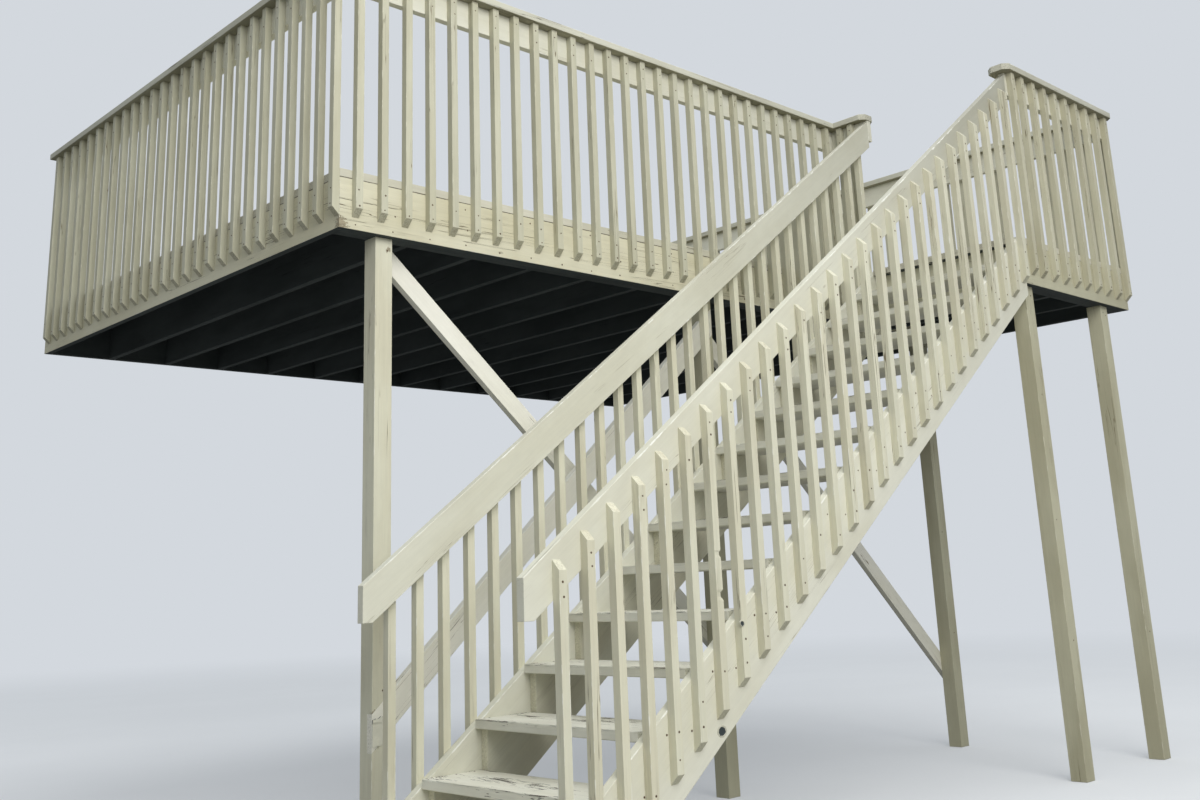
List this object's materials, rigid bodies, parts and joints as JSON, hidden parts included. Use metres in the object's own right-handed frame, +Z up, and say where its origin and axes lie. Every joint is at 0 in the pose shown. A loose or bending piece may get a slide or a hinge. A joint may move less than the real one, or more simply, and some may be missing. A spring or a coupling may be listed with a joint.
{
  "type": "raised deck with stairs",
  "caption": "Painted timber deck on posts with a landing and a long straight side stair, open risers, sloping handrails and square-baluster guards; bolts to a wall.",
  "frame": {"origin": "centre of the ledger board's back face, where the deck is bolted to the wall", "axes": "+Y out of the back of the ledger into the wall, +Z up, +X along the deck front towards the landing, the way the stair climbs"},
  "size_m": [5.108, 4.83, 3.983],
  "materials": {
    "painted_wood": "painted, weathered",
    "worn_tread": "painted, worn by feet",
    "raw_timber": "rough, weathered"
  },
  "bodies": {
    "root": {"deck_boards": "worn_tread", "deck_joists": "raw_timber", "front_balusters": "painted_wood", "front_beam_inner": "raw_timber", "front_beam_outer": "raw_timber", "front_cap": "painted_wood", "front_rim": "painted_wood", "front_top_rail": "painted_wood", "inner_carriage": "painted_wood", "inner_flight_balusters": "painted_wood", "inner_handrail": "painted_wood", "inner_stringer": "painted_wood", "landing_balusters": "painted_wood", "landing_beam_inner": "raw_timber", "landing_beam_outer": "raw_timber", "landing_boards": "worn_tread", "landing_cap": "painted_wood", "landing_joists": "raw_timber", "landing_left_post": "painted_wood", "landing_left_rim": "painted_wood", "landing_right_post": "painted_wood", "landing_rim": "painted_wood", "landing_top_rail": "painted_wood", "ledger": "raw_timber", "left_balusters": "painted_wood", "left_cap": "painted_wood", "left_falling_brace": "painted_wood", "left_post": "painted_wood", "left_rim": "painted_wood", "left_rising_brace": "painted_wood", "left_top_rail": "painted_wood", "middle_post": "painted_wood", "outer_carriage": "painted_wood", "outer_flight_balusters": "painted_wood", "outer_handrail": "painted_wood", "outer_stringer": "painted_wood", "return_balusters": "painted_wood", "return_cap": "painted_wood", "return_top_rail": "painted_wood", "right_balusters": "painted_wood", "right_cap": "painted_wood", "right_falling_brace": "painted_wood", "right_post": "painted_wood", "right_rim": "painted_wood", "right_top_rail": "painted_wood", "stair_hanger": "painted_wood", "tread_01": "worn_tread", "tread_02": "worn_tread", "tread_03": "worn_tread", "tread_04": "worn_tread", "tread_05": "worn_tread", "tread_06": "worn_tread", "tread_07": "worn_tread", "tread_08": "worn_tread", "tread_09": "worn_tread", "tread_10": "worn_tread", "tread_11": "worn_tread", "tread_12": "worn_tread", "tread_13": "worn_tread", "tread_14": "worn_tread"}
  },
  "joints": []
}
